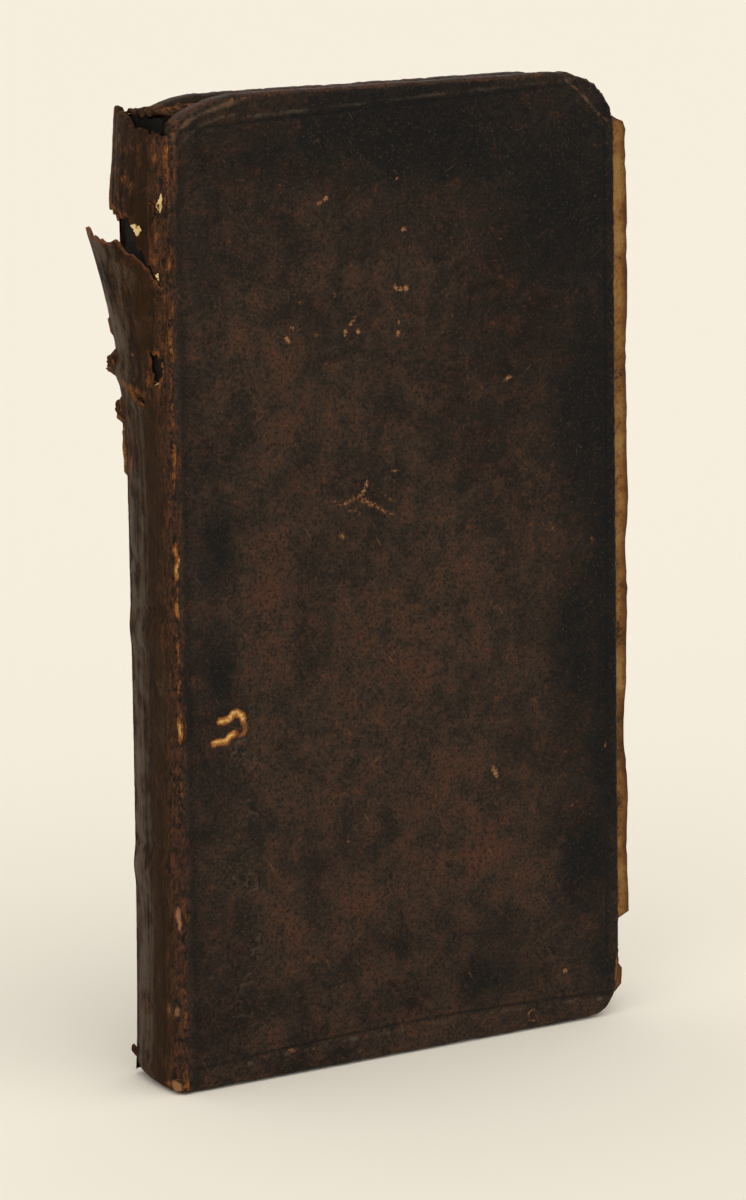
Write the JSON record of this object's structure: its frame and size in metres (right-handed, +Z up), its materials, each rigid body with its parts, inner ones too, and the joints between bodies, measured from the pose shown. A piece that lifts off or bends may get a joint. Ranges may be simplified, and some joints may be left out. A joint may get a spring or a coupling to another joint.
{
  "type": "manuscript book",
  "caption": "Tall, narrow hand-bound book in worn dark brown leather over boards, with raised bands, a torn spine and covers that open on their joints.",
  "frame": {"origin": "on the floor, under the middle of the book's box", "axes": "+Z up from the tail to the head, +X from the spine to the fore-edge, the front cover faces -Y"},
  "size_m": [0.1186, 0.02, 0.2],
  "materials": {
    "cover_leather": "worn satin",
    "spine_leather": "worn, cracked",
    "leaves": "aged, matte",
    "lining_paper": "aged, matte",
    "pastedown_paper": "aged, matte",
    "pasteboard": "raw, fibrous",
    "hemp_cord": "raw, fibrous"
  },
  "bodies": {
    "book_block": {"text_block": "leaves", "sewing_cord_tail": "hemp_cord", "sewing_cord_middle": "hemp_cord", "sewing_cord_head": "hemp_cord", "spine_lining": "lining_paper", "spine_leather": "spine_leather"},
    "front_cover": {"front_board": "pasteboard", "front_slips": "hemp_cord", "front_leather": "cover_leather", "front_pastedown": "pastedown_paper"},
    "back_cover": {"back_board": "pasteboard", "back_slips": "hemp_cord", "back_leather": "cover_leather", "back_pastedown": "pastedown_paper"}
  },
  "joints": [
    {"name": "front_joint", "type": "hinge", "parent": "book_block", "child": "front_cover", "pos_m": [-0.04938, -0.01, 0.1], "axis": [0, 0, -1], "range_deg": [0, 175]},
    {"name": "back_joint", "type": "hinge", "parent": "book_block", "child": "back_cover", "pos_m": [-0.04938, 0.01, 0.1], "axis": [0, 0, 1], "range_deg": [0, 175]}
  ]
}
